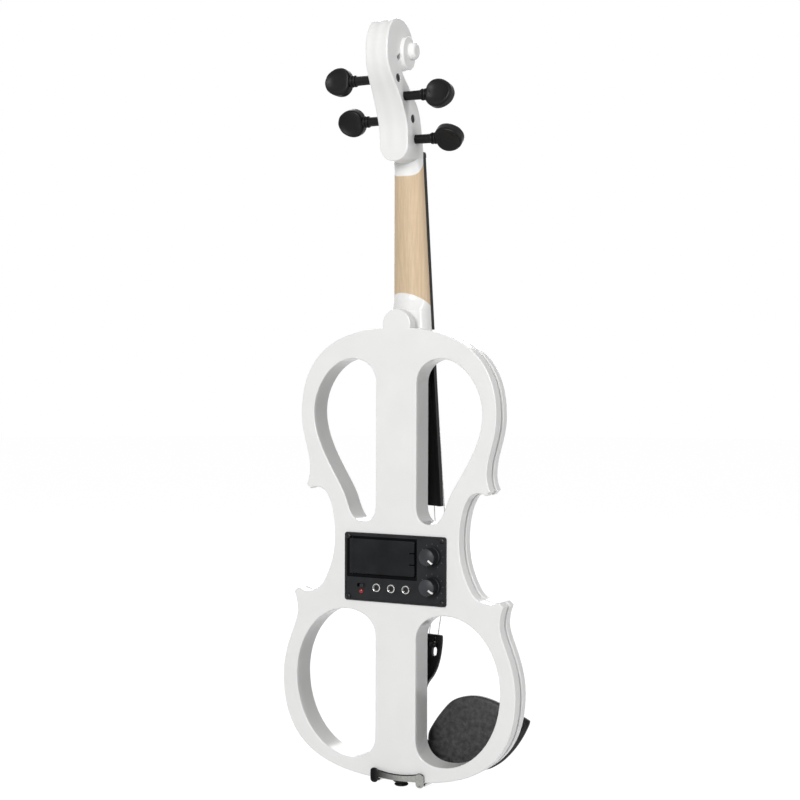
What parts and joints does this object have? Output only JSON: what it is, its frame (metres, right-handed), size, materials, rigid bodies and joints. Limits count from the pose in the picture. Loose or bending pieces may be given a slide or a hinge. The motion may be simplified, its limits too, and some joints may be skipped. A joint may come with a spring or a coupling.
{
  "type": "electric violin",
  "caption": "Electric violin with a laminated skeleton body, bare maple neck, chin rest, tailpiece with a fine tuner, and a rear control panel with battery door, knobs and jacks.",
  "frame": {"origin": "the point inside the neck, just under the pegbox, where a hanger's fork carries the violin", "axes": "+X to the right seen from the strings' side, +Y out of the flat back, +Z along the neck towards the scroll"},
  "size_m": [0.2066, 0.0949, 0.5993],
  "materials": {
    "white_lacquered_wood": "high gloss white lacquer",
    "maple": "bare satin maple",
    "black_wood": "black satin wood",
    "black_plastic": "fine-grained black plastic",
    "bright_nickel": "polished nickel plate",
    "dark_steel": "dark plated steel",
    "string_steel": "wound steel",
    "cork": "cork sheet",
    "black_rubber": "matt rubber",
    "battery_case": "printed steel case",
    "green_board": "soldered circuit board",
    "red_lens": "clear red lens",
    "white_plastic": "plain plastic"
  },
  "bodies": {
    "violin": {"body_back": "white_lacquered_wood", "body_core": "maple", "body_front": "white_lacquered_wood", "neck": "maple", "fingerboard": "black_wood", "nut": "black_wood", "saddle": "black_wood", "endpin": "black_wood", "bridge": "maple", "bridge_pickup": "bright_nickel", "pickup_lead": "black_rubber", "tail_gut": "black_rubber", "tailpiece": "black_plastic", "tuner_plate": "bright_nickel", "string_g": "string_steel", "string_d": "string_steel", "string_a": "string_steel", "string_e": "string_steel", "chin_rest": "black_wood", "chin_rest_cork_g_side": "cork", "chin_rest_cork_e_side": "cork", "clamp_front_bracket": "dark_steel", "clamp_back_bracket": "dark_steel", "clamp_pad": "black_rubber", "control_panel": "black_plastic", "battery_tray": "black_plastic", "battery": "battery_case", "battery_clip": "black_rubber", "circuit_board": "green_board", "volume_pot": "bright_nickel", "tone_pot": "bright_nickel", "output_jack": "bright_nickel", "headphone_jack": "bright_nickel", "line_in_jack": "bright_nickel", "power_switch": "bright_nickel", "power_led": "red_lens", "panel_screw_1": "dark_steel", "panel_screw_2": "dark_steel", "panel_screw_3": "dark_steel", "panel_screw_4": "dark_steel"},
    "peg_g": {"peg_g": "black_wood"},
    "peg_d": {"peg_d": "black_wood"},
    "peg_a": {"peg_a": "black_wood"},
    "peg_e": {"peg_e": "black_wood"},
    "tuner_screw": {"tuner_screw": "bright_nickel"},
    "tuner_lever": {"tuner_lever": "bright_nickel"},
    "volume_knob": {"volume_knob": "black_plastic", "volume_shaft": "white_plastic"},
    "tone_knob": {"tone_knob": "black_plastic", "tone_shaft": "white_plastic"},
    "power_slider": {"power_switch_slider": "black_plastic"},
    "battery_door": {"battery_door": "black_plastic"},
    "clamp_barrel_g_side": {"clamp_barrel_g_side": "bright_nickel"},
    "clamp_barrel_e_side": {"clamp_barrel_e_side": "bright_nickel"}
  },
  "joints": [
    {"name": "peg_g_turn", "type": "hinge", "parent": "violin", "child": "peg_g", "pos_m": [0, 0.00796, 0.0285], "axis": [-1, 0, 0], "range_deg": [-1080, 90]},
    {"name": "peg_d_turn", "type": "hinge", "parent": "violin", "child": "peg_d", "pos_m": [0, 0.02479, 0.05994], "axis": [-1, 0, 0], "range_deg": [-1080, 90]},
    {"name": "peg_a_turn", "type": "hinge", "parent": "violin", "child": "peg_a", "pos_m": [0, 0.03386, 0.0727], "axis": [-1, 0, 0], "range_deg": [-1080, 90]},
    {"name": "peg_e_turn", "type": "hinge", "parent": "violin", "child": "peg_e", "pos_m": [0, 0.01327, 0.04378], "axis": [-1, 0, 0], "range_deg": [-1080, 90]},
    {"name": "tuner_screw_turn", "type": "hinge", "parent": "violin", "child": "tuner_screw", "pos_m": [0.0132, -0.02365, -0.38018], "axis": [0, 0.9912, 0.1323], "range_deg": [0, 1080]},
    {"name": "tuner_lever_tilt", "type": "hinge", "parent": "violin", "child": "tuner_lever", "pos_m": [0.0132, -0.02656, -0.37048], "axis": [1, 0, 0], "range_deg": [0, 8.7]},
    {"name": "volume_knob_turn", "type": "hinge", "parent": "violin", "child": "volume_knob", "pos_m": [-0.033, 0.01717, -0.2952], "axis": [0, 1, 0], "range_deg": [-15, 285]},
    {"name": "tone_knob_turn", "type": "hinge", "parent": "violin", "child": "tone_knob", "pos_m": [-0.033, 0.01717, -0.3186], "axis": [0, 1, 0], "range_deg": [-23, 277]},
    {"name": "power_slider_slide", "type": "slide", "parent": "violin", "child": "power_slider", "axis": [1, 0, 0], "range_m": [0, 0.003]},
    {"name": "battery_door_hinge", "type": "hinge", "parent": "violin", "child": "battery_door", "pos_m": [0.0383, 0.01777, -0.2985], "axis": [0, 0, -1], "range_deg": [0, 95]},
    {"name": "clamp_barrel_g_turn", "type": "hinge", "parent": "violin", "child": "clamp_barrel_g_side", "pos_m": [-0.0234, 0.00437, -0.4755], "axis": [0, 1, 0], "continuous": true},
    {"name": "clamp_barrel_e_turn", "type": "hinge", "parent": "violin", "child": "clamp_barrel_e_side", "pos_m": [0.017, 0.00437, -0.4755], "axis": [0, 1, 0], "continuous": true}
  ],
  "couplings": [
    {"joint": "tuner_lever_tilt", "follows": "tuner_screw_turn", "ratio": 0.007958}
  ]
}
